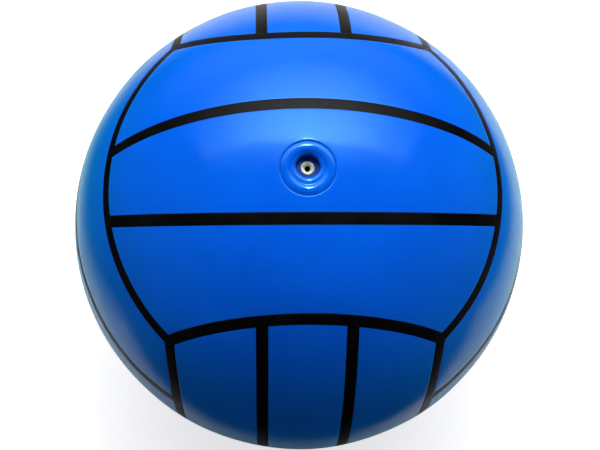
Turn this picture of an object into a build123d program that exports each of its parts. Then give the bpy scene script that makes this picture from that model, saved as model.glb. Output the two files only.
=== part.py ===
from build123d import *
import math
import os

# A moulded rubber water polo ball. The origin is the ball's centre and +Z runs out through the valve.
# Sizes are in millimetres and angles in degrees.

# The wall, from the outside in
BALL_RADIUS = 100.0
COVER_THICKNESS = 0.9
CARCASS_THICKNESS = 0.5
WINDING_THICKNESS = 0.3
BLADDER_THICKNESS = 0.7
BOND_LINE = 0.05  # the film of cement between two bonded pieces

# The cover's pattern: six faces of three panels each, with black strips laid in between them
SEAM_WIDTH = 4.6
PATTERN_TILT = 2.08  # the pattern leans this far towards +Y, so the valve sits off its panel's middle
CORNER_TILT = 53.4  # from the top face's middle to a corner where three faces meet
CORNER_TURN = 49.1  # from +X to that corner, around the top face's middle
TOP_REACH = 51.75  # from the middle of the top or bottom face to the ends of its panels
SIDE_REACH = 59.05  # the same on the left and right faces
FRONT_REACH = 55.78  # the same on the front and back faces
TOP_SEAM_OFFSET = 12.72  # from the middle of the top or bottom face to its two inner seams
SIDE_SEAM_OFFSET = 15.62  # the same on the left and right faces
FRONT_SEAM_OFFSET = 9.69  # the same on the front and back faces

# The valve core, a soft plug that closes on an inflation needle
CORE_RADIUS = 2.6
CORE_LENGTH = 10.0
CORE_FACE_DEPTH = 4.8  # below the ball's surface
CORE_EDGE_ROUND = 0.3
CORE_CLOSED_END = 3.0  # below the needle hole, where a slit seals itself
NEEDLE_RADIUS = 1.0
FUNNEL_WIDTH = 1.2  # around the needle hole's mouth
FUNNEL_DEPTH = 1.6

# The valve eyelet, a dished ring with a raised bead, from the throat outwards
VALVE_OFFSET = 1.1  # from the middle of the ring to the throat and core, towards +Y
THROAT_GAP = 1.8  # around the core
LIP_ROUND = 0.8  # on the edge of the throat
LEDGE_WIDTH = 0.05  # inside the bead, where the throat comes closest to it
LEDGE_DEPTH = 1.0  # below the ball's surface
BEAD_FOOT = 0.15  # the slope from the ledge to the bead
BEAD_WIDTH = 3.2
BEAD_HEIGHT = 0.43  # above the groove
GROOVE_WIDTH = 0.4  # between the bead and the ring's edge
GROOVE_DEPTH = 0.38  # below the ball's surface
HOLE_ROUND = 0.3  # on the edge of the valve panel around the ring
COLLAR_WALL = 0.7  # from the bead's inside to the collar that fills the hole through the wall
EYELET_GAP = 0.1  # around the ring and its collar

# The valve housing, a flange and stem bonded to the inside of the bladder
FLANGE_LAP = 7.9  # the flange's width around the hole through the wall
FLANGE_THICKNESS = 1.2
STEM_WALL = 1.7  # around the mouth, which carries the throat on down to the core
STEM_FLOOR = 2.0
STEM_ROUND = 1.0
AIR_HOLE_RADIUS = 1.0
CORE_STAND = 0.6  # how far the core stands up from the floor of the mouth
CORE_CLEARANCE = 0.05  # around the core in the stem's pocket
CORE_END_GAP = 0.3  # below the core in the stem's pocket

# Radii of the bonded layers
cover_inner = BALL_RADIUS - COVER_THICKNESS
carcass_outer = cover_inner - BOND_LINE
carcass_inner = carcass_outer - CARCASS_THICKNESS
winding_outer = carcass_inner - BOND_LINE
winding_inner = winding_outer - WINDING_THICKNESS
bladder_outer = winding_inner - BOND_LINE
bladder_inner = bladder_outer - BLADDER_THICKNESS
flange_outer = bladder_inner - BOND_LINE

# Radii around the valve's axis
throat_radius = CORE_RADIUS + THROAT_GAP
ledge_radius = VALVE_OFFSET + throat_radius + LIP_ROUND + LEDGE_WIDTH
bead_inside = ledge_radius + BEAD_FOOT
bead_crest = bead_inside + BEAD_WIDTH / 2
bead_outside = bead_inside + BEAD_WIDTH
eyelet_radius = bead_outside + GROOVE_WIDTH
panel_hole_radius = eyelet_radius + EYELET_GAP
collar_radius = bead_inside + COLLAR_WALL
collar_hole_radius = collar_radius + EYELET_GAP
flange_radius = collar_hole_radius + FLANGE_LAP
pocket_radius = CORE_RADIUS + CORE_CLEARANCE
stem_radius = VALVE_OFFSET + throat_radius + STEM_WALL

X = Vector(1, 0, 0)
Y = Vector(0, 1, 0)
Z = Vector(0, 0, 1)


def save(shape, node):
    export_step(shape, f"parts/{node}.step")


def surface_angle(length):
    """The angle at the ball's centre that a length along its surface spans."""
    return math.degrees(length / BALL_RADIUS)


def sphere_height(radius, out):
    """The height of a sphere's top surface at a distance out from the Z axis."""
    return math.sqrt(radius**2 - out**2)


def sphere_arc(radius, out_from, out_to):
    """The stretch of a sphere's section between two distances from the Z axis."""
    outs = (out_from, (out_from + out_to) / 2, out_to)
    return ThreePointArc(*[(out, 0, sphere_height(radius, out)) for out in outs])


def half_space(facing, height):
    """Everything beyond a plane that lies at a height along the direction it faces."""
    reach = 3 * BALL_RADIUS
    block = Box(reach, reach, reach, align=(Align.CENTER, Align.CENTER, Align.MIN))
    return Plane(facing * height, z_dir=facing) * block


def valve_hole(radius):
    """A round hole through the top of the wall, along the valve's axis."""
    return Cylinder(radius, 2 * BALL_RADIUS, align=(Align.CENTER, Align.CENTER, Align.MIN))


def spin(*outline):
    """The solid that an outline beside the Z axis makes when it turns around it."""
    return revolve(make_face(outline), Axis.Z)


def is_ring(edge, radius):
    return edge.geom_type == GeomType.CIRCLE and math.isclose(edge.radius, radius)


def turned(start, toward, angle):
    """A direction turned from one axis towards another."""
    turn = math.radians(angle)
    return start * math.cos(turn) + toward * math.sin(turn)


class Loop:
    """A circle drawn on the ball, by the direction of its pole and its angle from there.

    Pieces are cut along it on a plane, so their edges are skived and lap at a slant.
    """

    def __init__(self, pole, on_loop):
        self.pole = pole.normalized()
        self.angle = self.pole.get_angle(on_loop)

    def inside(self, grow):
        """What lies inside the loop once it is grown by a length along the surface."""
        angle = math.radians(self.angle + surface_angle(grow))
        return half_space(self.pole, BALL_RADIUS * math.cos(angle))


# The cover's seams, about the pattern's own axes

SIGNS = (1, -1)
strip_edge = SEAM_WIDTH / 2  # from a seam's middle line to the edge of its strip
beside_strip = strip_edge + BOND_LINE  # from there to the piece beside the strip
corner = turned(Z, turned(X, Y, CORNER_TURN), CORNER_TILT)


def end_loop(normal, along, reach):
    """The edge at one end of a face's panels, through two corners and the middle of the end."""
    middle = turned(normal, along, reach)
    rise = abs(corner.dot(normal)) - middle.dot(normal)
    run = abs(corner.dot(along)) - middle.dot(along)
    return Loop(along * rise - normal * run, middle)


class CoverFace:
    """One of the six faces. Its panels run along one axis and lie side by side across another."""

    def __init__(self, name, normal, along, across, reach, beyond, seam_offset, tapered, sides, ends):
        self.name = name
        self.normal = normal
        self.along = along
        self.across = across
        self.reach = reach
        self.beyond = beyond  # the reach of the faces that lie beyond its sides
        self.seam_offset = seam_offset
        self.tapered = tapered
        self.sides = dict(zip(SIGNS, sides))
        self.ends = dict(zip(SIGNS, ends))

    def cover(self):
        """The whole cover, with the join in its surface on the far side of the ball."""
        ball = Sphere(BALL_RADIUS) - Sphere(cover_inner)
        return Plane((0, 0, 0), x_dir=-self.normal, z_dir=self.along) * ball

    def end(self, sign):
        """The edge at one end of the panels."""
        return end_loop(self.normal, self.along * sign, self.reach)

    def side(self, sign):
        """The edge along one side, which is an end of the face beyond it."""
        return end_loop(self.across * sign, self.normal, self.beyond)

    def seam(self, sign):
        """The inner seam on one side: straight on a tapered face, else level with its middle line."""
        across = self.across * sign
        lean = self.seam_offset if self.tapered else 0
        return Loop(turned(across, -self.normal, lean), turned(self.normal, across, self.seam_offset))

    def face_side(self):
        """The side of the ball that the face lies on, from just below its lowest edge."""
        lowest = min(abs(corner.dot(self.normal)), math.cos(math.radians(self.reach)))
        return half_space(self.normal, BALL_RADIUS * lowest - SEAM_WIDTH)

    def end_side(self, sign):
        """The side of the ball that an end's edge lies on, from just short of its two corners."""
        corner_height = BALL_RADIUS * abs(corner.dot(self.along))
        return half_space(self.along * sign, corner_height - SEAM_WIDTH)

    def between_ends(self):
        """The face's stretch of the cover between the strips at its two ends."""
        stretch = self.cover()
        for sign in SIGNS:
            stretch = stretch - (self.end_side(sign) - self.end(sign).inside(-beside_strip))
        return stretch & self.face_side()

    def middle_panel(self):
        panel = self.between_ends()
        for sign in SIGNS:
            panel = panel - self.seam(sign).inside(beside_strip)
        return panel

    def side_panel(self, sign):
        panel = self.between_ends() & self.seam(sign).inside(-beside_strip)
        return panel - self.side(sign).inside(beside_strip)

    def inner_seam(self, sign):
        seam = self.seam(sign)
        return (self.between_ends() & seam.inside(strip_edge)) - seam.inside(-strip_edge)

    def edge_seam(self, sign):
        edge = self.end(sign)
        strip = (self.cover() & edge.inside(strip_edge)) - edge.inside(-strip_edge)
        strip = strip & self.end_side(sign)
        for side in SIGNS:
            strip = strip - self.side(side).inside(beside_strip)
        return strip

    def corner_patch(self, end, side):
        """The three-cornered patch where this face meets two others."""
        patch = self.cover() & self.end(end).inside(strip_edge)
        patch = patch & self.side(side).inside(strip_edge)
        return patch & end_loop(self.along * end, self.across * side, SIDE_REACH).inside(strip_edge)


def face_pair(names, normal, *details):
    return [CoverFace(name, normal * sign, *details) for name, sign in zip(names, SIGNS)]


tops = ("top", "bottom")
sides = ("right", "left")
fronts = ("back", "front")
levels = ("upper", "lower")
top_faces = face_pair(tops, Z, X, Y, TOP_REACH, FRONT_REACH, TOP_SEAM_OFFSET, True, fronts, sides)
side_faces = face_pair(sides, X, Y, Z, SIDE_REACH, TOP_REACH, SIDE_SEAM_OFFSET, False, levels, fronts)
front_faces = face_pair(fronts, Y, Z, X, FRONT_REACH, SIDE_REACH, FRONT_SEAM_OFFSET, False, sides, tops)

# Cover panels and seam strips, leaned over with the whole pattern

os.makedirs("parts", exist_ok=True)
lean = Rotation(-PATTERN_TILT, 0, 0)

for face in top_faces + side_faces + front_faces:
    middle_panel = lean * face.middle_panel()
    if face.name == "top":
        valve_panel = middle_panel - valve_hole(panel_hole_radius)
        hole_rings = [edge for edge in valve_panel.edges() if is_ring(edge, panel_hole_radius)]
        save(fillet(max(hole_rings, key=lambda edge: edge.center().Z), HOLE_ROUND), "valve_panel")
    else:
        save(middle_panel, f"{face.name}_middle_panel")
    for sign in SIGNS:
        save(lean * face.side_panel(sign), f"{face.name}_{face.sides[sign]}_panel")
        save(lean * face.inner_seam(sign), f"{face.name}_{face.sides[sign]}_seam")
        save(lean * face.edge_seam(sign), f"{face.name}_{face.ends[sign]}_edge_seam")

corner_patches = [lean * face.corner_patch(x, y).solid() for face in top_faces for x in SIGNS for y in SIGNS]
save(Compound(children=corner_patches), "seam_corners")

# Carcass, winding and bladder, three plain shells with the eyelet's collar through them


def layer(outer, inner):
    return Sphere(outer) - Sphere(inner) - valve_hole(collar_hole_radius)


save(layer(carcass_outer, carcass_inner), "carcass")
save(layer(winding_outer, winding_inner), "winding")
save(layer(bladder_outer, bladder_inner), "bladder")

# Valve eyelet

groove_height = sphere_height(BALL_RADIUS, eyelet_radius) - GROOVE_DEPTH
ledge_height = BALL_RADIUS - LEDGE_DEPTH
to_throat = Pos(0, VALVE_OFFSET, 0)

ring = spin(
    sphere_arc(cover_inner, collar_radius, eyelet_radius),
    Polyline(
        (eyelet_radius, 0, sphere_height(cover_inner, eyelet_radius)),
        (eyelet_radius, 0, groove_height),
        (bead_outside, 0, groove_height),
    ),
    ThreePointArc(
        (bead_outside, 0, groove_height),
        (bead_crest, 0, groove_height + BEAD_HEIGHT),
        (bead_inside, 0, groove_height),
    ),
    Polyline(
        (bead_inside, 0, groove_height),
        (ledge_radius, 0, ledge_height),
        (0, 0, ledge_height),
        (0, 0, bladder_inner),
    ),
    sphere_arc(bladder_inner, 0, collar_radius),
    Line(
        (collar_radius, 0, sphere_height(bladder_inner, collar_radius)),
        (collar_radius, 0, sphere_height(cover_inner, collar_radius)),
    ),
)
eyelet = ring - to_throat * valve_hole(throat_radius)
throat_rings = [edge for edge in eyelet.edges() if is_ring(edge, throat_radius)]
save(fillet(max(throat_rings, key=lambda edge: edge.center().Z), LIP_ROUND), "valve_eyelet")

# Valve core

core_face = BALL_RADIUS - CORE_FACE_DEPTH
core_end = core_face - CORE_LENGTH
needle_end = core_end + CORE_CLOSED_END
funnel_end = core_face - FUNNEL_DEPTH

plug = Cylinder(CORE_RADIUS, CORE_LENGTH, align=(Align.CENTER, Align.CENTER, Align.MIN))
core = Pos(0, 0, core_end) * fillet(plug.edges().filter_by(GeomType.CIRCLE), CORE_EDGE_ROUND)
needle_hole = spin(
    Polyline(
        (0, 0, needle_end),
        (NEEDLE_RADIUS, 0, needle_end),
        (NEEDLE_RADIUS, 0, funnel_end),
        (NEEDLE_RADIUS + FUNNEL_WIDTH, 0, core_face),
        (0, 0, core_face),
        close=True,
    ),
)
save(to_throat * (core - needle_hole), "valve_core")

# Valve housing

mouth_floor = core_face - CORE_STAND
pocket_floor = core_end - CORE_END_GAP
stem_end = pocket_floor - STEM_FLOOR
flange_inner = flange_outer - FLANGE_THICKNESS

body = spin(
    Line((0, 0, stem_end), (0, 0, flange_outer)),
    sphere_arc(flange_outer, 0, flange_radius),
    Line(
        (flange_radius, 0, sphere_height(flange_outer, flange_radius)),
        (flange_radius, 0, sphere_height(flange_inner, flange_radius)),
    ),
    sphere_arc(flange_inner, flange_radius, stem_radius),
    Polyline(
        (stem_radius, 0, sphere_height(flange_inner, stem_radius)),
        (stem_radius, 0, stem_end),
        (0, 0, stem_end),
    ),
)
body = fillet([edge for edge in body.edges() if is_ring(edge, stem_radius)], STEM_ROUND)
cavity = spin(
    Polyline(
        (0, 0, stem_end),
        (AIR_HOLE_RADIUS, 0, stem_end),
        (AIR_HOLE_RADIUS, 0, pocket_floor),
        (pocket_radius, 0, pocket_floor),
        (pocket_radius, 0, mouth_floor),
        (throat_radius, 0, mouth_floor),
        (throat_radius, 0, BALL_RADIUS),
        (0, 0, BALL_RADIUS),
        close=True,
    ),
)
save(body - to_throat * cavity, "valve_housing")
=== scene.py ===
import math

import bmesh
import bpy
import numpy as np
from mathutils import Euler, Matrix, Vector


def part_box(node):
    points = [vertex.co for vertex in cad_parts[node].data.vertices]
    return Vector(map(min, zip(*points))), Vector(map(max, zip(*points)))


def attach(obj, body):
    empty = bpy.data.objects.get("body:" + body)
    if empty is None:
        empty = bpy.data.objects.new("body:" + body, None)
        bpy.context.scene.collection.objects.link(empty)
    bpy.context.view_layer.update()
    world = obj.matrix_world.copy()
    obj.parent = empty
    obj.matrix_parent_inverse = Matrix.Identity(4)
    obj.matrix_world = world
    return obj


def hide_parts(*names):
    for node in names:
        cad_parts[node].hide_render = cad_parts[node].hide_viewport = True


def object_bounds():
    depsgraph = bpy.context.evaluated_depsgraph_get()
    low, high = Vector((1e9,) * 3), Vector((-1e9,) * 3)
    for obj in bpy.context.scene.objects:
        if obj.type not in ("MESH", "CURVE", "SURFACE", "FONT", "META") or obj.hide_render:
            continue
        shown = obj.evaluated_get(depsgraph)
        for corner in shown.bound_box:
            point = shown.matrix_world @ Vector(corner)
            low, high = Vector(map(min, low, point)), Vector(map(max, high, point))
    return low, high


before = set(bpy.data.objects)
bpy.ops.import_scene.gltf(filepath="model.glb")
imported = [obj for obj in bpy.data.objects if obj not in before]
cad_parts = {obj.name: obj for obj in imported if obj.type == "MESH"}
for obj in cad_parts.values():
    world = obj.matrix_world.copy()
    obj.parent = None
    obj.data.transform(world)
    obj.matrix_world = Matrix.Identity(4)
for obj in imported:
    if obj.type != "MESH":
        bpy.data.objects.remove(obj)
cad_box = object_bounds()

# Bladder
# A seamless balloon of black butyl rubber that holds the air. It is dusted with talc inside its mould, and
# the dust stays on it in clouds.

MM = 0.001  # a millimetre, in the scene's metres
BUTYL_BLACK = (0.012, 0.012, 0.013, 1)
BUTYL_GRAIN = 2 * MM
BUTYL_GRAIN_DEPTH = 0.04 * MM
BUTYL_ROUGHNESS = 0.55
TALC_GREY = (0.16, 0.155, 0.145, 1)
TALC_CLOUD = 30 * MM
TALC_SPREAD = (0.4, 0.75)  # the heights in its clouds where the dust begins and where it is thickest
TALC_GRAIN = 4 * MM
TALC_ROUGHNESS = 0.3  # what the dust adds to the rubber's own


class Shade:
    """A socket in a material, so that shading maths reads as plain sums."""

    def __init__(self, socket):
        self.socket = socket
        self.tree = socket.id_data

    def node(self, kind, settings, sockets, output=0):
        """One of the outputs of a new node, whose settings are set before its sockets."""
        made = self.tree.nodes.new("ShaderNode" + kind)
        for name, value in settings.items():
            setattr(made, name, value)
        for name, value in sockets.items():
            if isinstance(value, Shade):
                self.tree.links.new(value.socket, made.inputs[name])
            else:
                made.inputs[name].default_value = value
        return Shade(made.outputs[output])

    def maths(self, operation, first, second):
        return self.node("Math", {"operation": operation}, {0: first, 1: second})

    def __add__(self, other):
        return self.maths("ADD", self, other)

    def __radd__(self, other):
        return self.maths("ADD", other, self)

    def __sub__(self, other):
        return self.maths("SUBTRACT", self, other)

    def __rsub__(self, other):
        return self.maths("SUBTRACT", other, self)

    def __mul__(self, other):
        return self.maths("MULTIPLY", self, other)

    def __rmul__(self, other):
        return self.maths("MULTIPLY", other, self)

    def over(self, limit):
        """1 where this is above a limit, and 0 elsewhere."""
        return self.maths("GREATER_THAN", self, limit)

    def clouds(self, size, detail=3.0):
        """Soft blotches about as wide as a size in metres, from 0 to 1."""
        return self.node("TexNoise", {}, {"Vector": self, "Scale": 1 / size, "Detail": detail})

    def stretched(self, x, y, z):
        """This place with its patterns squeezed by a factor along each axis."""
        return self.node("Mapping", {}, {"Vector": self, "Scale": (x, y, z)})

    def ramp(self, low, high):
        """A smooth step from 0 at the low value to 1 at the high one."""
        limits = {"Value": self, "From Min": low, "From Max": high}
        return self.node("MapRange", {"interpolation_type": "SMOOTHSTEP"}, limits)

    def tint(self, colour, other):
        """The first colour where this mask is 0, and the other where it is 1."""
        return self.node("Mix", {"data_type": "RGBA"}, {0: self, 6: colour, 7: other}, 2)

    def relief(self, depth):
        """A surface normal for heights from 0 to 1 that stand for a depth in metres."""
        return self.node("Bump", {}, {"Height": self, "Distance": depth, "Strength": 1.0})

    def feed(self, shader, socket):
        self.tree.links.new(self.socket, shader.inputs[socket])


def start_finish(name, **constants):
    """A new material, its shader, and the place on the object that its patterns follow."""
    finish = bpy.data.materials.new(name)
    finish.use_nodes = True
    shader = finish.node_tree.nodes["Principled BSDF"]
    for socket, value in constants.items():
        shader.inputs[socket.replace("_", " ")].default_value = value
    place = Shade(finish.node_tree.nodes.new("ShaderNodeTexCoord").outputs["Object"])
    return finish, shader, place


def dress(piece, finish):
    piece.data.materials.clear()
    piece.data.materials.append(finish)


bladder_finish, shader, place = start_finish("bladder_rubber")
talc = place.clouds(TALC_CLOUD).ramp(*TALC_SPREAD)
(talc * place.clouds(TALC_GRAIN)).tint(BUTYL_BLACK, TALC_GREY).feed(shader, "Base Color")
(BUTYL_ROUGHNESS + TALC_ROUGHNESS * talc).feed(shader, "Roughness")
place.clouds(BUTYL_GRAIN).relief(BUTYL_GRAIN_DEPTH).feed(shader, "Normal")
dress(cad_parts["bladder"], bladder_finish)

# Winding
# Nylon thread wound round the bladder in every direction, layer on layer, so that the ball stays round
# under pressure. Latex holds the turns in place.

THREAD_WHITE = (0.72, 0.69, 0.62, 1)
THREAD_SHADOW = (0.3, 0.27, 0.21, 1)
THREAD_ROUGHNESS = 0.6
THREAD_PITCH = 1.1 * MM
THREAD_DEPTH = 0.2 * MM
THREAD_WANDER = 1.5  # how unevenly the turns lie
LAY_ANGLES = (0.2, 1.3, 2.4)  # of three layers of turns, in radians

winding_finish, shader, place = start_finish("winding_thread", Roughness=THREAD_ROUGHNESS)
threads = 0.0
for angle in LAY_ANGLES:
    lay = place.node("Mapping", {}, {"Vector": place, "Rotation": (angle, 2 * angle, angle)})
    turns = {"Vector": lay, "Scale": 1 / THREAD_PITCH / math.tau, "Distortion": THREAD_WANDER}
    threads = place.node("TexWave", {"bands_direction": "Z"}, turns, 1) + threads
threads = threads * (1 / len(LAY_ANGLES))
threads.tint(THREAD_SHADOW, THREAD_WHITE).feed(shader, "Base Color")
threads.relief(THREAD_DEPTH).feed(shader, "Normal")
dress(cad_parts["winding"], winding_finish)

# Carcass
# A thin layer of black natural rubber, laid over the winding. It is brushed with cement, so that the cover
# cures onto it.

CARCASS_BLACK = (0.014, 0.013, 0.012, 1)
CARCASS_ROUGHNESS = 0.75
CEMENT_BROWN = (0.05, 0.036, 0.022, 1)
CEMENT_SPREAD = (0.45, 0.7)
CEMENT_GLOSS = 0.3  # what the cement takes off the roughness
STROKE_LENGTH = 20 * MM
STROKE_SQUEEZE = 6.0  # how much longer than wide a stroke of the brush is
STROKE_DEPTH = 0.05 * MM

carcass_finish, shader, place = start_finish("carcass_rubber")
strokes = place.stretched(1.0, STROKE_SQUEEZE, STROKE_SQUEEZE).clouds(STROKE_LENGTH)
cement = strokes.ramp(*CEMENT_SPREAD)
cement.tint(CARCASS_BLACK, CEMENT_BROWN).feed(shader, "Base Color")
(CARCASS_ROUGHNESS - CEMENT_GLOSS * cement).feed(shader, "Roughness")
strokes.relief(STROKE_DEPTH).feed(shader, "Normal")
dress(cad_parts["carcass"], carcass_finish)

# Valve housing
# A moulded flange and stem of blue rubber, cemented inside the bladder. Its pocket grips the valve core,
# and its mouth carries the throat of the valve on down to the core.

HOUSING_BLUE = (0.001, 0.055, 0.38, 1)
HOUSING_GLOSS = 0.15
HOUSING_ROUGHNESS = 0.45
HOUSING_GRAIN = 0.6 * MM
HOUSING_GRAIN_DEPTH = 0.02 * MM
HOUSING_BLOOM = (0.005, 0.07, 0.4, 1)  # the pale wax that comes to the surface of old rubber
BLOOM_CLOUD = 4 * MM
BLOOM_SPREAD = (0.4, 0.8)
BLOOM_ROUGHNESS = 0.25

housing_finish, shader, place = start_finish("housing_rubber", Specular_IOR_Level=HOUSING_GLOSS)
bloom = place.clouds(BLOOM_CLOUD).ramp(*BLOOM_SPREAD)
bloom.tint(HOUSING_BLUE, HOUSING_BLOOM).feed(shader, "Base Color")
(HOUSING_ROUGHNESS + BLOOM_ROUGHNESS * bloom).feed(shader, "Roughness")
place.clouds(HOUSING_GRAIN).relief(HOUSING_GRAIN_DEPTH).feed(shader, "Normal")
dress(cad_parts["valve_housing"], housing_finish)

# Cover panels
# Eighteen panels of glossy blue rubber in six faces of three, cut with slanted edges and cured onto the
# carcass in a mould. Curing rolls their edges over a little and leaves the skin faintly uneven. A pearl
# pigment in the rubber turns the blue to teal where the skin is seen edge on.

COVER_THICKNESS = 0.9 * MM
ball_radius = cad_box[1].x
cover_inner = ball_radius - COVER_THICKNESS
BOND_LINE = 0.05 * MM  # the film of cement between two pieces
SEAM_WIDTH = 4.6 * MM
PATTERN_TILT = 2.08  # in degrees, as the next four: so the valve sits off its panel's middle
CORNER_TILT = 53.4  # from the top face's middle to a corner where three faces meet
CORNER_TURN = 49.1  # from +X to that corner, around the top face's middle
REACH = {"top": 51.75, "side": 59.05, "front": 55.78}  # from a face's middle to its panels' ends
SEAM_OFFSET = {"top": 12.72, "side": 15.62, "front": 9.69}  # from a face's middle to its inner seams
EDGE_ROLL = 0.6 * MM  # how far in from its edge a piece rolls over
EDGE_DROP = 0.06 * MM
EDGE_ROWS = 4
GRID_STEP = 2.5 * MM
VALVE_PANEL_STEP = 1.2 * MM
FEWEST_STEPS = 3
FINE_STEPS = 400  # along the lines that a piece's steps are measured on
SHARP_ANGLE = math.radians(40)  # edges that turn more than this are shaded as sharp
WAVE_COUNT = 7
WAVE_LENGTH = 46 * MM
WAVE_DEPTH = 0.6 * MM
GOLDEN_TURN = math.radians(137.5)
SWELL = 0.15 * MM  # how far the cover stands up beside the valve
SWELL_WIDTH = 6 * MM
EYELET_HOLE = 10.2 * MM
HOLE_ROLL = 0.68 * MM  # how far in from the hole the cover rolls over
HOLE_ROUND = 0.8 * MM  # the radius of that roll
HOLE_ROWS = 7
HOLE_BLOCK = 14 * MM  # half the width of the block of the grid that the rings round the hole fill
strip_edge = SEAM_WIDTH / 2
beside_strip = strip_edge + BOND_LINE
SIGNS = (1, -1)
X, Y, Z = np.eye(3)


def unit(directions):
    return directions / np.linalg.norm(directions, axis=-1, keepdims=True)


def turned(start, toward, angle):
    """A direction turned from one axis towards another, by an angle in degrees."""
    turn = math.radians(angle)
    return start * math.cos(turn) + toward * math.sin(turn)


def leaned(points):
    """Points of the pattern, leaned over with it."""
    axes = np.array([X, turned(Y, -Z, PATTERN_TILT), turned(Z, Y, PATTERN_TILT)])
    return points @ axes


corner = turned(Z, turned(X, Y, CORNER_TURN), CORNER_TILT)


class Loop:
    """A circle drawn on the ball around a pole. Pieces are cut along it on a plane."""

    def __init__(self, pole, on_loop):
        self.pole = unit(pole)
        self.angle = math.acos(self.pole @ on_loop)

    def inside(self, grow):
        """The plane of the loop grown by a length, as a normal and an offset, above 0 inside it."""
        height = ball_radius * math.cos(self.angle + grow / ball_radius)
        return np.append(self.pole, -height)

    def outside(self, grow):
        return -self.inside(grow)


def end_loop(normal, along, reach):
    """The edge at one end of a face's panels, through two corners and the middle of the end."""
    middle = turned(normal, along, reach)
    rise = abs(corner @ normal) - middle @ normal
    run = abs(corner @ along) - middle @ along
    return Loop(along * rise - normal * run, middle)


class CoverFace:
    """One of the six faces. Its panels run along one axis and lie side by side across another."""

    def __init__(self, name, normal, along, across, kind, beyond, sides, ends):
        self.name = name
        self.normal = normal
        self.along = along
        self.across = across
        self.reach = REACH[kind]
        self.beyond = REACH[beyond]  # the reach of the faces that lie beyond its sides
        self.seam_offset = SEAM_OFFSET[kind]
        self.tapered = kind == "top"
        self.sides = dict(zip(SIGNS, sides))
        self.ends = dict(zip(SIGNS, ends))

    def end(self, sign):
        """The edge at one end of the panels."""
        return end_loop(self.normal, self.along * sign, self.reach)

    def side(self, sign):
        """The edge along one side, which is an end of the face beyond it."""
        return end_loop(self.across * sign, self.normal, self.beyond)

    def seam(self, sign):
        """The inner seam on one side: straight on a tapered face, else level with its middle line."""
        across = self.across * sign
        lean = self.seam_offset if self.tapered else 0
        return Loop(turned(across, -self.normal, lean), turned(self.normal, across, self.seam_offset))

    def rows_of_cuts(self):
        """The cuts from one end of the panels to the other, by way of the face's middle."""
        halfway = np.append(-self.along, 0)
        return [self.end(1).inside(-beside_strip), halfway, self.end(-1).outside(-beside_strip)]

    def ways(self):
        """The directions that the face's two ends and its middle face, in the order of those cuts."""
        ends = [turned(self.normal, self.along * sign, self.reach) for sign in SIGNS]
        return [ends[0], self.normal, ends[1]]


def face_pair(names, normal, *details):
    return [CoverFace(name, normal * sign, *details) for name, sign in zip(names, SIGNS)]


tops = ("top", "bottom")
flanks = ("right", "left")
fronts = ("back", "front")
levels = ("upper", "lower")
top_faces = face_pair(tops, Z, X, Y, "top", "front", fronts, flanks)
side_faces = face_pair(flanks, X, Y, Z, "side", "top", levels, fronts)
front_faces = face_pair(fronts, Y, Z, X, "front", "side", flanks, tops)
faces = top_faces + side_faces + front_faces


def crossing(first, second, radius, facing):
    """Where pairs of planes meet a sphere about the ball's centre, on the side that faces a direction."""
    one = first[..., :3]
    two = second[..., :3]
    one_one = (one * one).sum(-1, keepdims=True)
    one_two = (one * two).sum(-1, keepdims=True)
    two_two = (two * two).sum(-1, keepdims=True)
    spread = one_one * two_two - one_two**2
    share_one = (second[..., 3:] * one_two - first[..., 3:] * two_two) / spread
    share_two = (first[..., 3:] * one_two - second[..., 3:] * one_one) / spread
    foot = share_one * one + share_two * two
    line = np.cross(one, two)
    line = line * np.sign((line * facing).sum(-1, keepdims=True))
    rise = (radius**2 - (foot * foot).sum(-1, keepdims=True)) / spread
    return foot + line * np.sqrt(rise)


def between(cuts, shares):
    """Planes part of the way through a series of cuts, each of which is above 0 towards the later ones."""
    cuts = np.array(cuts)
    gaps = len(cuts) - 1
    gap = np.minimum((shares * gaps).astype(int), gaps - 1)
    past = (shares * gaps - gap)[:, None]
    return (1 - past) * cuts[gap] + past * cuts[gap + 1]


def net(ends, ways, edges, along, across, radius):
    """Points over a four-sided piece, in rows from end to end and from edge to edge."""
    rows = between(ends, along)[:, None]
    facing = between(ways, along)[:, None]
    columns = between(edges, across)[None]
    return leaned(crossing(rows, columns, radius, facing))


def spaced(line, step):
    """Even steps along a line of points, closer together where the edges roll over.

    They come as shares of the way through the cuts and as distances in from the nearer end.
    """
    run = np.concatenate([[0], np.cumsum(np.linalg.norm(np.diff(line, axis=0), axis=1))])
    length = run[-1]
    roll = np.linspace(0, EDGE_ROLL, EDGE_ROWS, endpoint=False)
    steps = max(FEWEST_STEPS, round(length / step))
    middle = np.linspace(EDGE_ROLL, length - EDGE_ROLL, steps + 1)
    places = np.concatenate([roll, middle, length - roll[::-1]])
    shares = np.interp(places, run, np.linspace(0, 1, len(line)))
    return shares, np.minimum(places, length - places)


def rolled(inset):
    """How far the skin drops at a distance in from a piece's edge."""
    return EDGE_DROP * np.clip(1 - inset / EDGE_ROLL, 0, 1) ** 2


def skin_radius(points):
    """The distance of the cured skin from the ball's centre, with its faint waves and the valve's swell."""
    directions = unit(points)
    waves = np.zeros(directions.shape[:-1])
    for wave in range(WAVE_COUNT):
        height = 1 - (2 * wave + 1) / WAVE_COUNT
        across = math.sqrt(1 - height**2)
        turn = GOLDEN_TURN * wave
        axis = np.array([across * math.cos(turn), across * math.sin(turn), height])
        waves += np.sin(math.tau * ball_radius / WAVE_LENGTH * (directions @ axis) + wave)
    out = ball_radius * np.hypot(directions[..., 0], directions[..., 1])
    swell = np.exp(-(((out - EYELET_HOLE) / SWELL_WIDTH) ** 2)) * (directions[..., 2] > 0)
    return ball_radius - WAVE_DEPTH * (0.5 + 0.5 * waves / WAVE_COUNT) + SWELL * swell


def laid(points, drop):
    """Points moved onto the skin, less a drop."""
    return unit(points) * (skin_radius(points) - drop)[..., None]


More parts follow.
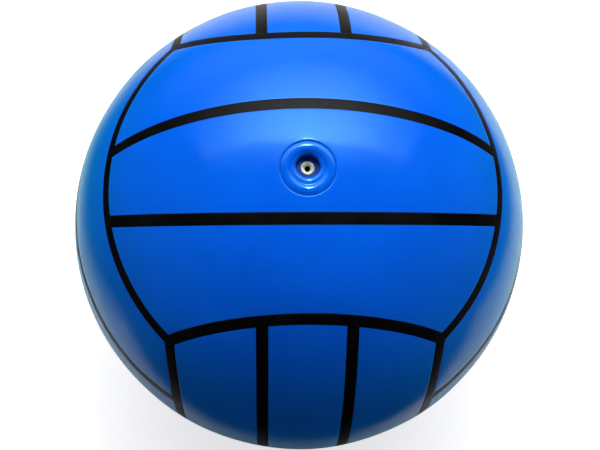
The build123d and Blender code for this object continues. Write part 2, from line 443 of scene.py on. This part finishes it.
def quads(rows, columns, first, skip=None):
    """The four-cornered faces of a grid of points, less those that skip names."""
    cells = [(i, j) for i in range(rows - 1) for j in range(columns - 1) if not (skip and skip(i, j))]
    corners = [first + i * columns + j for i, j in cells]
    return [(c, c + columns, c + columns + 1, c + 1) for c in corners]


def rim(top, bottom, left, right, columns):
    """The points around a block of a grid, in order."""
    down = [i * columns + left for i in range(top, bottom)]
    across = [bottom * columns + j for j in range(left, right)]
    up = [i * columns + right for i in range(bottom, top, -1)]
    back = [top * columns + j for j in range(right, left, -1)]
    return down + across + up + back


def wall(one, other):
    """Faces between two closed loops of as many points."""
    following = zip(one, one[1:] + one[:1], other[1:] + other[:1], other)
    return list(following)


def make_piece(name, points, faces_of_points):
    """A closed mesh with its faces turned outwards, smooth but for its sharp edges."""
    mesh = bpy.data.meshes.new(name)
    mesh.from_pydata([tuple(point) for point in points], [], faces_of_points)
    shape = bmesh.new()
    shape.from_mesh(mesh)
    loose = [vert for vert in shape.verts if not vert.link_faces]
    bmesh.ops.delete(shape, geom=loose, context="VERTS")
    bmesh.ops.recalc_face_normals(shape, faces=shape.faces)
    for face in shape.faces:
        face.smooth = True
    shape.to_mesh(mesh)
    shape.free()
    mesh.set_sharp_from_angle(angle=SHARP_ANGLE)
    piece = bpy.data.objects.new(name, mesh)
    bpy.context.scene.collection.objects.link(piece)
    return piece


def strip_nets(ends, ways, edges, step):
    """The outer and inner points of a piece of cover."""
    shares = np.linspace(0, 1, FINE_STEPS)
    middle = np.array([0.5])
    along, inset_along = spaced(net(ends, ways, edges, shares, middle, ball_radius)[:, 0], step)
    across, inset_across = spaced(net(ends, ways, edges, middle, shares, ball_radius)[0], step)
    drop = np.maximum(rolled(inset_along)[:, None], rolled(inset_across)[None])
    outer = laid(net(ends, ways, edges, along, across, ball_radius), drop)
    inner = net(ends, ways, edges, along, across, cover_inner)
    return outer, inner


def cover_piece(name, ends, ways, edges):
    """A panel or strip between two ends and two edges."""
    outer, inner = strip_nets(ends, ways, edges, GRID_STEP)
    rows, columns = outer.shape[:2]
    count = rows * columns
    loop = rim(0, rows - 1, 0, columns - 1, columns)
    sides = wall(loop, [point + count for point in loop])
    shell = quads(rows, columns, 0) + quads(rows, columns, count) + sides
    return make_piece(name, np.concatenate([outer.reshape(-1, 3), inner.reshape(-1, 3)]), shell)


def hole_rings(points, block):
    """Rings of points from a round hole about the valve's axis out to a block of a grid."""
    edge = points.reshape(-1, 3)[block][:, :2]
    hole = unit(edge) * EYELET_HOLE
    gap = np.linalg.norm(edge - hole, axis=1)
    roll = [np.full(len(block), HOLE_ROLL * row / HOLE_ROWS) for row in range(HOLE_ROWS)]
    spread = [HOLE_ROLL + (gap - HOLE_ROLL) * row / EDGE_ROWS for row in range(EDGE_ROWS)]
    insets = np.array(roll + spread)
    flat = hole + (edge - hole) * (insets / gap)[..., None]
    return flat, insets


def valve_panel_piece(name, ends, ways, edges):
    """The panel with the round hole for the valve eyelet."""
    outer, inner = strip_nets(ends, ways, edges, VALVE_PANEL_STEP)
    rows, columns = outer.shape[:2]
    count = rows * columns
    near_x = np.flatnonzero(np.abs(outer[:, columns // 2, 0]) < HOLE_BLOCK)
    near_y = np.flatnonzero(np.abs(outer[rows // 2, :, 1]) < HOLE_BLOCK)
    top, bottom, left, right = near_x[0], near_x[-1], near_y[0], near_y[-1]
    block = rim(top, bottom, left, right, columns)

    def in_block(i, j):
        return top <= i < bottom and left <= j < right

    points = [outer.reshape(-1, 3), inner.reshape(-1, 3)]
    shell = quads(rows, columns, 0, in_block) + quads(rows, columns, count, in_block)
    loop = rim(0, rows - 1, 0, columns - 1, columns)
    shell += wall(loop, [point + count for point in loop])
    first = 2 * count
    mouths = []
    for level, grid in enumerate((outer, inner)):
        flat, insets = hole_rings(grid, block)
        height = np.sqrt(cover_inner**2 - (flat**2).sum(-1, keepdims=True))
        ring_points = np.concatenate([flat, height], axis=-1)
        if level == 0:
            to_go = np.clip(HOLE_ROLL - insets, 0, HOLE_ROLL)
            ring_points = laid(ring_points, HOLE_ROUND - np.sqrt(HOLE_ROUND**2 - to_go**2))
            # The rings keep their distance from the valve's axis on the swollen skin.
            ring_points[..., :2] = flat
        points.append(ring_points.reshape(-1, 3))
        starts = [first + row * len(block) for row in range(len(flat))]
        rings = [list(range(start, start + len(block))) for start in starts]
        rings.append([point + level * count for point in block])
        for ring, next_ring in zip(rings, rings[1:]):
            shell += wall(ring, next_ring)
        mouths.append(rings[0])
        first += flat[..., 0].size
    shell += wall(*mouths)
    return make_piece(name, np.concatenate(points), shell)


GLOSS_BLUE = (0.34, 0.95, 1.0, 1)  # the colour that the blue rubber gives its gloss
PEARL_TEAL = (0.0, 0.9, 0.75, 1)  # the pigment shows this where the skin is seen edge on
PEARL_WEIGHT = 0.37
PEARL_SPREAD = 0.45
COVER_GLOSS = 0.42
COVER_ROUGHNESS = 0.13
BLUE = (0.001, 0.124, 0.87, 1)
BLUE_DEEP = (0.001, 0.109, 0.81, 1)
BLUE_WORN = (0.012, 0.18, 0.89, 1)
MOTTLE_CLOUD = 30 * MM
MOTTLE_SPREAD = (0.3, 0.7)
MOTTLE_ROUGHNESS = 0.04
STREAK_CLOUD = 8 * MM
STREAK_DETAIL = 5.0
STREAK_SQUEEZE = (3.0, 0.6, 1.4)
STREAK_SPREAD = (0.62, 0.8)
STREAK_WEAR = 0.08
STREAK_ROUGHNESS = 0.05
SPECK_PITCH = 9 * MM
SPECK_EDGE = (0.02, 0.035)  # where a speck starts to fade and where it ends, as shares of the pitch
SPECK_CLOUD = 20 * MM  # the specks lie in patches about this wide
SPECK_SPREAD = (0.5, 0.6)
SPECK_WEAR = 0.4
SKIN_GRAIN = 0.8 * MM
SKIN_GRAIN_DEPTH = 0.004 * MM

pearl = {"Sheen_Weight": PEARL_WEIGHT, "Sheen_Tint": PEARL_TEAL, "Sheen_Roughness": PEARL_SPREAD}
gloss = {"Specular_Tint": GLOSS_BLUE, "Specular_IOR_Level": COVER_GLOSS}
cover_finish, shader, place = start_finish("cover_rubber", **gloss, **pearl)
mottle = place.clouds(MOTTLE_CLOUD).ramp(*MOTTLE_SPREAD)
streaks = place.stretched(*STREAK_SQUEEZE).clouds(STREAK_CLOUD, STREAK_DETAIL).ramp(*STREAK_SPREAD)
dots = place.node("TexVoronoi", {}, {"Vector": place, "Scale": 1 / SPECK_PITCH})
specks = (1 - dots.ramp(*SPECK_EDGE)) * place.clouds(SPECK_CLOUD).ramp(*SPECK_SPREAD)
wear = STREAK_WEAR * streaks + SPECK_WEAR * specks
wear.tint(mottle.tint(BLUE_DEEP, BLUE), BLUE_WORN).feed(shader, "Base Color")
(COVER_ROUGHNESS + MOTTLE_ROUGHNESS * mottle + STREAK_ROUGHNESS * streaks).feed(shader, "Roughness")
place.clouds(SKIN_GRAIN).relief(SKIN_GRAIN_DEPTH).feed(shader, "Normal")


def mount_cover(piece, node, finish):
    dress(piece, finish)
    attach(piece, "ball")
    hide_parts(node)


for face in faces:
    ends = face.rows_of_cuts()
    middle_edges = [face.seam(1).outside(beside_strip), face.seam(-1).inside(beside_strip)]
    if face.name == "top":
        valve_panel = valve_panel_piece("panel_valve", ends, face.ways(), middle_edges)
        mount_cover(valve_panel, "valve_panel", cover_finish)
    else:
        panel = cover_piece(f"panel_{face.name}_middle", ends, face.ways(), middle_edges)
        mount_cover(panel, f"{face.name}_middle_panel", cover_finish)
    for sign, side in face.sides.items():
        edges = [face.seam(sign).inside(-beside_strip), face.side(sign).inside(beside_strip)]
        panel = cover_piece(f"panel_{face.name}_{side}", ends, face.ways(), edges)
        mount_cover(panel, f"{face.name}_{side}_panel", cover_finish)

# Seam strips
# Strips of black rubber laid in between the panels and cured flush with them. Two run along each face, and
# one along each of the twelve edges between faces.

SEAM_BLACK = (0.0015, 0.0015, 0.002, 1)
SEAM_GREY = (0.004, 0.004, 0.0045, 1)
SEAM_GLOSS = 0.1
SEAM_ROUGHNESS = 0.33
SEAM_CLOUD = 12 * MM
SEAM_CLOUD_ROUGHNESS = 0.1

seam_finish, shader, place = start_finish("seam_rubber", Specular_IOR_Level=SEAM_GLOSS)
mottle = place.clouds(SEAM_CLOUD).ramp(*MOTTLE_SPREAD)
mottle.tint(SEAM_BLACK, SEAM_GREY).feed(shader, "Base Color")
(SEAM_ROUGHNESS + SEAM_CLOUD_ROUGHNESS * mottle).feed(shader, "Roughness")
place.clouds(SKIN_GRAIN).relief(SKIN_GRAIN_DEPTH).feed(shader, "Normal")

for face in faces:
    ends = face.rows_of_cuts()
    stops = [face.side(1).outside(beside_strip), face.side(-1).inside(beside_strip)]
    for sign, side in face.sides.items():
        seam = face.seam(sign)
        edges = [seam.inside(strip_edge), seam.inside(-strip_edge)]
        strip = cover_piece(f"seam_{face.name}_{side}", ends, face.ways(), edges)
        mount_cover(strip, f"{face.name}_{side}_seam", seam_finish)
    for sign, end in face.ends.items():
        edge = face.end(sign)
        edges = [edge.inside(strip_edge), edge.inside(-strip_edge)]
        ways = [face.along * sign] * len(stops)
        strip = cover_piece(f"edge_{face.name}_{end}", stops, ways, edges)
        mount_cover(strip, f"{face.name}_{end}_edge_seam", seam_finish)

# Seam corners
# Eight small three-sided patches of the same black rubber, one where each three edge strips meet. They are
# cured flush with the strips.

CORNER_STEPS = 6


def corner_net(planes, facing, radius):
    """Rows of points over a three-sided patch, by their shares of the way in from its three sides."""
    tips = [crossing(planes[k - 2], planes[k - 1], radius, facing) for k in range(3)]
    depths = [planes[k][:3] @ tips[k] + planes[k][3] for k in range(3)]
    even = [plane / depth for plane, depth in zip(planes, depths)]
    rows = []
    for i in range(CORNER_STEPS + 1):
        row = []
        for j in range(CORNER_STEPS + 1 - i):
            shares = [i, j, CORNER_STEPS - i - j]
            most = shares.index(max(shares))
            others = [k for k in range(3) if k != most]
            cuts = [shares[k] * even[most] - shares[most] * even[k] for k in others]
            row.append(crossing(cuts[0], cuts[1], radius, facing))
        rows.append(row)
    return rows


def corner_patch(planes, facing, first):
    """The points and faces of one patch, numbered from a first point."""
    outer_rows = corner_net(planes, facing, ball_radius)
    inner_rows = corner_net(planes, facing, cover_inner)
    outer = leaned(np.array([point for row in outer_rows for point in row]))
    inner = leaned(np.array([point for row in inner_rows for point in row]))
    starts = np.cumsum([0] + [len(row) for row in outer_rows])
    cells = []
    for i in range(CORNER_STEPS):
        for j in range(CORNER_STEPS - i):
            low = starts[i] + j
            high = starts[i + 1] + j
            cells.append((low, low + 1, high))
            if j + 1 < CORNER_STEPS - i:
                cells.append((low + 1, high + 1, high))
    count = len(outer)
    lower = [starts[0] + j for j in range(CORNER_STEPS)]
    slant = [starts[i] + CORNER_STEPS - i for i in range(CORNER_STEPS)]
    back = [starts[i] for i in range(CORNER_STEPS, 0, -1)]
    loop = lower + slant + back
    shell = cells + [[point + count for point in cell] for cell in cells]
    shell += wall(loop, [point + count for point in loop])
    points = np.concatenate([laid(outer, np.zeros(count)), inner])
    return points, [[int(point) + first for point in cell] for cell in shell]


patch_points = np.zeros((0, 3))
patch_faces = []
for face in top_faces:
    for end in SIGNS:
        for side in SIGNS:
            third = end_loop(face.along * end, face.across * side, REACH["side"])
            planes = [loop.inside(strip_edge) for loop in (face.end(end), face.side(side), third)]
            facing = corner * np.array([end, side, 1 if face.name == "top" else -1])
            points, cells = corner_patch(planes, facing, len(patch_points))
            patch_points = np.concatenate([patch_points, points])
            patch_faces += cells
corner_patches = make_piece("corner_patches", patch_points, patch_faces)
mount_cover(corner_patches, "seam_corners", seam_finish)

# Valve eyelet
# A ring of glossy blue rubber moulded in one piece, set into the valve panel and cemented to the housing
# through the wall. A raised bead surrounds the dish that leads a needle to the core.

VALVE_OFFSET = 1.1 * MM  # from the middle of the ring to the throat and core, towards +Y
THROAT = 4.4 * MM
LIP_ROUND = 1.3 * MM
LEDGE_EDGE = 6.35 * MM
BEAD_CREST = 8.1 * MM
BEAD_HALF = 1.6 * MM  # half the bead's width
EYELET_EDGE = 10.1 * MM
COLLAR = 7.2 * MM
LEDGE_DEPTH = 1.0 * MM
GROOVE_DEPTH = 0.38 * MM
BEAD_HEIGHT = 0.43 * MM
CROWN_ROUND = 6.0 * MM  # the radius of the bead's low crown
CROWN_HALF = 0.95 * MM  # half the crown's width, beyond which the bead's shoulders fall away
BEAD_STEPS = 41
OUTLINE_STEP = 0.12 * MM
EASE = 2  # steps each way over which an outline's corners are rounded
LATHE_STEPS = 180
LIP_STEPS = 10
BLADDER_THICKNESS = 0.7 * MM
bladder_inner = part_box("bladder")[1].x - BLADDER_THICKNESS


def sphere_height(radius, out):
    return math.sqrt(radius**2 - out**2)


def centred(points, shift):
    """Points of an outline whose circles have their middles shifted towards +Y."""
    return [(out, height, shift) for out, height in points]


def eased(outline, closed):
    """An outline in even steps, with its corners rounded."""
    points = np.array(outline + outline[:1] if closed else outline)
    steps = np.linalg.norm(np.diff(points, axis=0), axis=1)
    run = np.concatenate([[0], np.cumsum(steps)])
    count = round(run[-1] / OUTLINE_STEP)
    places = np.linspace(0, run[-1], count, endpoint=not closed)
    even = np.stack([np.interp(places, run, column) for column in points.T], axis=1)
    if closed:
        return sum(np.roll(even, shift, axis=0) for shift in range(-EASE, EASE + 1)) / (2 * EASE + 1)
    soft = even.copy()
    for place in range(EASE, len(even) - EASE):
        soft[place] = even[place - EASE : place + EASE + 1].mean(axis=0)
    return soft


def lathe_points(outline):
    turns = np.linspace(0, math.tau, LATHE_STEPS, endpoint=False)[:, None]
    out, height, shift = outline.T
    heights = np.broadcast_to(height, (LATHE_STEPS, len(outline)))
    return np.stack([out * np.cos(turns), out * np.sin(turns) + shift, heights], axis=-1).reshape(-1, 3)


def lathe_faces(count, closed):
    """Faces of an outline spun round, as a ring or as a plug whose ends are on the axis."""
    spun = []
    for turn in range(LATHE_STEPS):
        here = turn * count
        there = (turn + 1) % LATHE_STEPS * count
        for place in range(count if closed else count - 1):
            after = (place + 1) % count
            spun.append((here + place, there + place, there + after, here + after))
    return spun


groove_height = sphere_height(ball_radius, EYELET_EDGE) - GROOVE_DEPTH
ledge_height = ball_radius - LEDGE_DEPTH
lip = []
for turn in np.linspace(math.pi / 2, math.pi, LIP_STEPS):
    lip_out = THROAT + LIP_ROUND * (1 + math.cos(turn))
    lip.append((lip_out, ledge_height - LIP_ROUND * (1 - math.sin(turn))))
throat_end = (THROAT, sphere_height(bladder_inner, THROAT + VALVE_OFFSET))
shoulder_drop = BEAD_HEIGHT - BEAD_HALF**2 / (2 * CROWN_ROUND)
bead = []
for out in np.linspace(BEAD_HALF, -BEAD_HALF, BEAD_STEPS):
    shoulder = max(0, abs(out) - CROWN_HALF) / (BEAD_HALF - CROWN_HALF)
    drop = out**2 / (2 * CROWN_ROUND) + shoulder_drop * shoulder**2
    bead.append((BEAD_CREST + out, groove_height + BEAD_HEIGHT - drop))
wall_side = [
    (COLLAR, sphere_height(bladder_inner, COLLAR)),
    (COLLAR, sphere_height(cover_inner, COLLAR)),
    (EYELET_EDGE, sphere_height(cover_inner, EYELET_EDGE)),
    (EYELET_EDGE, groove_height),
]
eyelet_outline = (
    centred(bead + [(LEDGE_EDGE, ledge_height)], 0)
    + centred(lip + [throat_end], VALVE_OFFSET)
    + centred(wall_side, 0)
)
eyelet_points = eased(eyelet_outline, closed=True)
eyelet = make_piece("eyelet", lathe_points(eyelet_points), lathe_faces(len(eyelet_points), closed=True))

EYELET_BLUE = (0.001, 0.125, 0.82, 1)
EYELET_DEEP = (0.001, 0.11, 0.76, 1)
EYELET_ROUGHNESS = 0.06
EYELET_CLOUD = 6 * MM
EYELET_CLOUD_ROUGHNESS = 0.04
EYELET_GRAIN = 0.7 * MM

eyelet_finish, shader, place = start_finish("eyelet_rubber", Specular_Tint=GLOSS_BLUE)
mottle = place.clouds(EYELET_CLOUD).ramp(*MOTTLE_SPREAD)
mottle.tint(EYELET_DEEP, EYELET_BLUE).feed(shader, "Base Color")
(EYELET_ROUGHNESS + EYELET_CLOUD_ROUGHNESS * mottle).feed(shader, "Roughness")
place.clouds(EYELET_GRAIN).relief(SKIN_GRAIN_DEPTH).feed(shader, "Normal")
mount_cover(eyelet, "valve_eyelet", eyelet_finish)

# Valve core
# A soft plug of cream rubber that pushes into the housing. A funnel leads the inflation needle into its
# blind hole, and a slit below closes again when the needle is drawn out.

CORE_RADIUS = 2.6 * MM
NEEDLE_RADIUS = 1.0 * MM
FUNNEL_WIDTH = 1.2 * MM
FUNNEL_DEPTH = 1.6 * MM
CORE_CLOSED_END = 3.0 * MM
CORE_ROUND = 0.3 * MM
WELD_DISTANCE = 0.001 * MM  # points on the axis that lie closer than this become one
core_low, core_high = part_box("valve_core")

core_outline = (
    [(0, core_low.z), (CORE_RADIUS - CORE_ROUND, core_low.z), (CORE_RADIUS, core_low.z + CORE_ROUND)]
    + [(CORE_RADIUS, core_high.z - CORE_ROUND), (CORE_RADIUS - CORE_ROUND, core_high.z)]
    + [(NEEDLE_RADIUS + FUNNEL_WIDTH, core_high.z), (NEEDLE_RADIUS, core_high.z - FUNNEL_DEPTH)]
    + [(NEEDLE_RADIUS, core_low.z + CORE_CLOSED_END), (0, core_low.z + CORE_CLOSED_END)]
)
core_points = eased(centred(core_outline, VALVE_OFFSET), closed=False)
core = make_piece("core", lathe_points(core_points), lathe_faces(len(core_points), closed=False))
welded = bmesh.new()
welded.from_mesh(core.data)
bmesh.ops.remove_doubles(welded, verts=welded.verts, dist=WELD_DISTANCE)
welded.to_mesh(core.data)
welded.free()

CREAM = (0.83, 0.85, 0.64, 1)
CREAM_SOILED = (0.45, 0.42, 0.22, 1)
CORE_ROUGHNESS = 0.42
CORE_GRAIN = 0.5 * MM
CORE_GRAIN_DEPTH = 0.01 * MM
SOIL_CLOUD = 1.2 * MM
SOIL_SPREAD = (0.45, 0.8)
SOIL_ROUGHNESS = 0.2
HOLE_SHADE_BROWN = (0.035, 0.018, 0.004, 1)  # painted shade inside the needle's hole
HOLE_SHADE_EDGE = 1.2 * NEEDLE_RADIUS

core_finish, shader, place = start_finish("core_rubber")
soil = place.clouds(SOIL_CLOUD).ramp(*SOIL_SPREAD)
flat = place.node("VectorMath", {"operation": "MULTIPLY"}, {0: place, 1: (1, 1, 0)})
out = place.node("VectorMath", {"operation": "DISTANCE"}, {0: flat, 1: (0, VALVE_OFFSET, 0)}, "Value")
# The needle's hole and the foot of its funnel are painted dark brown: painted shade for the depth of the
# hole.
hole_shade = 1 - out.ramp(NEEDLE_RADIUS, HOLE_SHADE_EDGE)
hole_shade.tint(soil.tint(CREAM, CREAM_SOILED), HOLE_SHADE_BROWN).feed(shader, "Base Color")
(CORE_ROUGHNESS + SOIL_ROUGHNESS * soil).feed(shader, "Roughness")
place.clouds(CORE_GRAIN).relief(CORE_GRAIN_DEPTH).feed(shader, "Normal")
dress(core, core_finish)
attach(core, "core")
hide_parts("valve_core")

# Table
# A white table top that the ball rests on, valve up. The camera sees it lighter than the soft box makes it,
# so that it reads as white. Only a sheet in its middle, which fades towards its edges and widens towards
# the camera, sends light back onto the ball.

TABLE_HALF = 0.9
SHEET_LEFT = (0.145, 0.295)  # how far out the sheet starts to fade on this side, and where it ends
SHEET_RIGHT = (0.24, 0.335)
SHEET_FRONT = (0.13, 0.19)
SHEET_BACK = (0.2, 0.75)
SLANT_START = 0.1  # from here to its front edge the sheet widens
LEFT_SLANT = 0.6  # how far it widens for each length towards the front
RIGHT_SLANT = 0.45
TABLE_WHITE = (0.8, 0.8, 0.8, 1)
TABLE_ROUGHNESS = 0.9
TABLE_GLOSS = 0.1
TABLE_LIFT = (0.66, 0.66, 0.66, 1)  # what the camera sees on top of the light on the table
NO_LIFT = (0, 0, 0, 1)

table_mesh = bpy.data.meshes.new("table")
front_edge = [(x, -TABLE_HALF, cad_box[0].z) for x in (-TABLE_HALF, TABLE_HALF)]
back_edge = [(x, TABLE_HALF, cad_box[0].z) for x in (TABLE_HALF, -TABLE_HALF)]
table_mesh.from_pydata(front_edge + back_edge, [], [(0, 1, 2, 3)])
table = bpy.data.objects.new("table", table_mesh)
bpy.context.scene.collection.objects.link(table)

matt_white = {"Base_Color": TABLE_WHITE, "Roughness": TABLE_ROUGHNESS, "Specular_IOR_Level": TABLE_GLOSS}
table_finish, shader, place = start_finish("table_white", **matt_white, Emission_Strength=1)
seen = place.node("LightPath", {}, {}, "Is Camera Ray")
seen.tint(NO_LIFT, TABLE_LIFT).feed(shader, "Emission Color")
table_x = place.node("SeparateXYZ", {}, {"Vector": place}, "X")
table_y = place.node("SeparateXYZ", {}, {"Vector": place}, "Y")
slant_y = table_y.maths("MINIMUM", table_y, SLANT_START)
left_fade = 1 - (LEFT_SLANT * slant_y - table_x).ramp(*SHEET_LEFT)
right_fade = 1 - (RIGHT_SLANT * slant_y + table_x).ramp(*SHEET_RIGHT)
front_fade = 1 - (-1 * table_y).ramp(*SHEET_FRONT)
back_fade = 1 - table_y.ramp(*SHEET_BACK)
on_sheet = left_fade * right_fade * front_fade * back_fade
clear = place.node("BsdfTransparent", {}, {})
top = Shade(shader.outputs["BSDF"])
mixed = place.node("MixShader", {}, {0: (1 - seen) * (1 - on_sheet), 1: top, 2: clear})
mixed.feed(table_finish.node_tree.nodes["Material Output"], "Surface")
dress(table, table_finish)

# Light
# One large soft box behind and above the ball, in a dim room with a white wall at the back. The part of
# the box nearest straight above glows dimly, but for one small bright spot in front of its lamp. The
# camera sees the room as white.

SOFT_BOX_WIDTH = 2.6
SOFT_BOX_HEIGHT = 1.27
SOFT_BOX_DISTANCE = 1.1
SOFT_BOX_TILT = 50  # from straight above the ball towards +Y
SOFT_BOX_DROP = 0.19  # how far the box slides towards straight above, in its own plane
SOFT_BOX_ASIDE = 0.08  # how far its middle lies to the right
SOFT_BOX_POWER = 101
OVERHEAD_BAND = 0.3  # the share of its height, nearest straight above, that glows dimly
OVERHEAD_GLOW = 0.25
FAR_LOSS = 0.4  # the further share of the light that is lost towards the far end of its height
SHOULDER_GLOW = 0.2  # of the light at the box's middle, towards its left and right ends
SHOULDER_SPAN = (0, 0.1)  # the shares of the width over which the shoulders rise from each end
MIDDLE_SPAN = (0.12, 0.48)  # the same for the rest of the light
LAMP_GAIN = 12  # how much brighter the box is in front of its lamp
LAMP_PLACE = 0.484  # the share of the width from the left end to the lamp
LAMP_HALF_WIDTH = 0.022
LAMP_HEIGHT = 0.222  # the share of the height from the overhead end to the lamp
LAMP_HALF_HEIGHT = 0.06

soft_box = bpy.data.lights.new("soft_box", "AREA")
soft_box.shape = "RECTANGLE"
soft_box.size = SOFT_BOX_WIDTH
soft_box.size_y = SOFT_BOX_HEIGHT
soft_box.energy = SOFT_BOX_POWER
soft_box.use_nodes = True
emission = soft_box.node_tree.nodes["Emission"]
spot = Shade(soft_box.node_tree.nodes.new("ShaderNodeNewGeometry").outputs["Parametric"])
from_left = spot.node("SeparateXYZ", {}, {"Vector": spot}, "X")
from_overhead = spot.node("SeparateXYZ", {}, {"Vector": spot}, "Y")
from_edge = (from_overhead - OVERHEAD_BAND) * (1 / (1 - OVERHEAD_BAND))
bright_part = from_overhead.over(OVERHEAD_BAND)
overhead = OVERHEAD_GLOW * from_overhead.ramp(0, OVERHEAD_BAND) * (1 - bright_part)
from_right = 1 - from_left
shoulders = from_left.ramp(*SHOULDER_SPAN) * from_right.ramp(*SHOULDER_SPAN)
middle_glow = from_left.ramp(*MIDDLE_SPAN) * from_right.ramp(*MIDDLE_SPAN)
side_fade = SHOULDER_GLOW * shoulders + (1 - SHOULDER_GLOW) * middle_glow
aside = from_left - LAMP_PLACE
above = from_overhead - LAMP_HEIGHT
aside_fade = (aside * aside).ramp(0, LAMP_HALF_WIDTH**2)
above_fade = (above * above).ramp(0, LAMP_HALF_HEIGHT**2)
lamp_spot = (1 - aside_fade) * (1 - above_fade)
fall_off = bright_part * (1 - from_edge) * (1 - FAR_LOSS * from_edge)
glow = side_fade * (fall_off + overhead) + LAMP_GAIN * lamp_spot
glow.feed(emission, "Color")
lamp = bpy.data.objects.new("soft_box", soft_box)
lamp.rotation_euler = (-math.radians(SOFT_BOX_TILT), 0, 0)
towards_box = turned(Z, Y, SOFT_BOX_TILT)
up_box = turned(Y, -Z, SOFT_BOX_TILT)
box_middle = SOFT_BOX_DISTANCE * towards_box - SOFT_BOX_DROP * up_box + SOFT_BOX_ASIDE * X
lamp.location = Vector(box_middle)
bpy.context.scene.collection.objects.link(lamp)

CEILING_GLOW = 0.04
CEILING_SPAN = (0, 0.8)  # a glow grows from none to all as a direction turns this far towards it
RIGHT_GLOW = 0.46
RIGHT_SPAN = (0.5, 1)
LEFT_GLOW = 0.34
LEFT_SPAN = (-0.5, -1)
FRONT_GLOW = 0.14
FRONT_SPAN = (-0.3, -1)
ROOM_GLOSS = 0.03  # how much of those four glows shows in a gloss
BACK_GLOW = 0.55
BACK_SPAN = (0.6, 0.95)
BACK_FOOT = (-0.35, 0.1)  # the wall fades in over these heights

room = bpy.data.worlds.new("room")
room.use_nodes = True
bpy.context.scene.world = room
background = room.node_tree.nodes["Background"]
camera_ray = Shade(room.node_tree.nodes.new("ShaderNodeLightPath").outputs["Is Camera Ray"])
glossy_ray = camera_ray.node("LightPath", {}, {}, "Is Glossy Ray")
direction = camera_ray.node("TexCoord", {}, {}, "Generated")
upward = direction.node("SeparateXYZ", {}, {"Vector": direction}, "Z")
backward = direction.node("SeparateXYZ", {}, {"Vector": direction}, "Y")
sideways = direction.node("SeparateXYZ", {}, {"Vector": direction}, "X")
ceiling_and_front = CEILING_GLOW * upward.ramp(*CEILING_SPAN) + FRONT_GLOW * backward.ramp(*FRONT_SPAN)
both_sides = RIGHT_GLOW * sideways.ramp(*RIGHT_SPAN) + LEFT_GLOW * sideways.ramp(*LEFT_SPAN)
back_wall = BACK_GLOW * backward.ramp(*BACK_SPAN) * upward.ramp(*BACK_FOOT)
room_light = (ceiling_and_front + both_sides) * (1 - (1 - ROOM_GLOSS) * glossy_ray) + back_wall
(camera_ray + (1 - camera_ray) * room_light).feed(background, "Color")

# Camera
# It looks down on the valve from a little in front of it, as close as a hand-held camera, so the ball's own
# curve hides its widest part.

VIEW_DISTANCE = 4.678 * ball_radius
LENS_MM = 61.64
VIEW_TILT = math.radians(11.99)  # from straight above the ball towards the front
VIEW_TURN = math.radians(-2.002)
VIEW_ROLL = math.radians(-0.17)
PICTURE_WIDTH = 600
SHIFT_RIGHT = 1.1 / PICTURE_WIDTH  # the ball's middle lies this far left of the picture's

camera_data = bpy.data.cameras.new("camera")
camera_data.lens = LENS_MM
camera_data.shift_x = SHIFT_RIGHT
camera = bpy.data.objects.new("camera", camera_data)
camera.rotation_mode = "ZYX"
camera.rotation_euler = Euler((VIEW_TILT, VIEW_TURN, VIEW_ROLL), "ZYX")
camera.location = camera.rotation_euler.to_matrix() @ Vector((0, 0, VIEW_DISTANCE))
bpy.context.scene.collection.objects.link(camera)
bpy.context.scene.camera = camera

bpy.context.scene.view_settings.view_transform = "Standard"
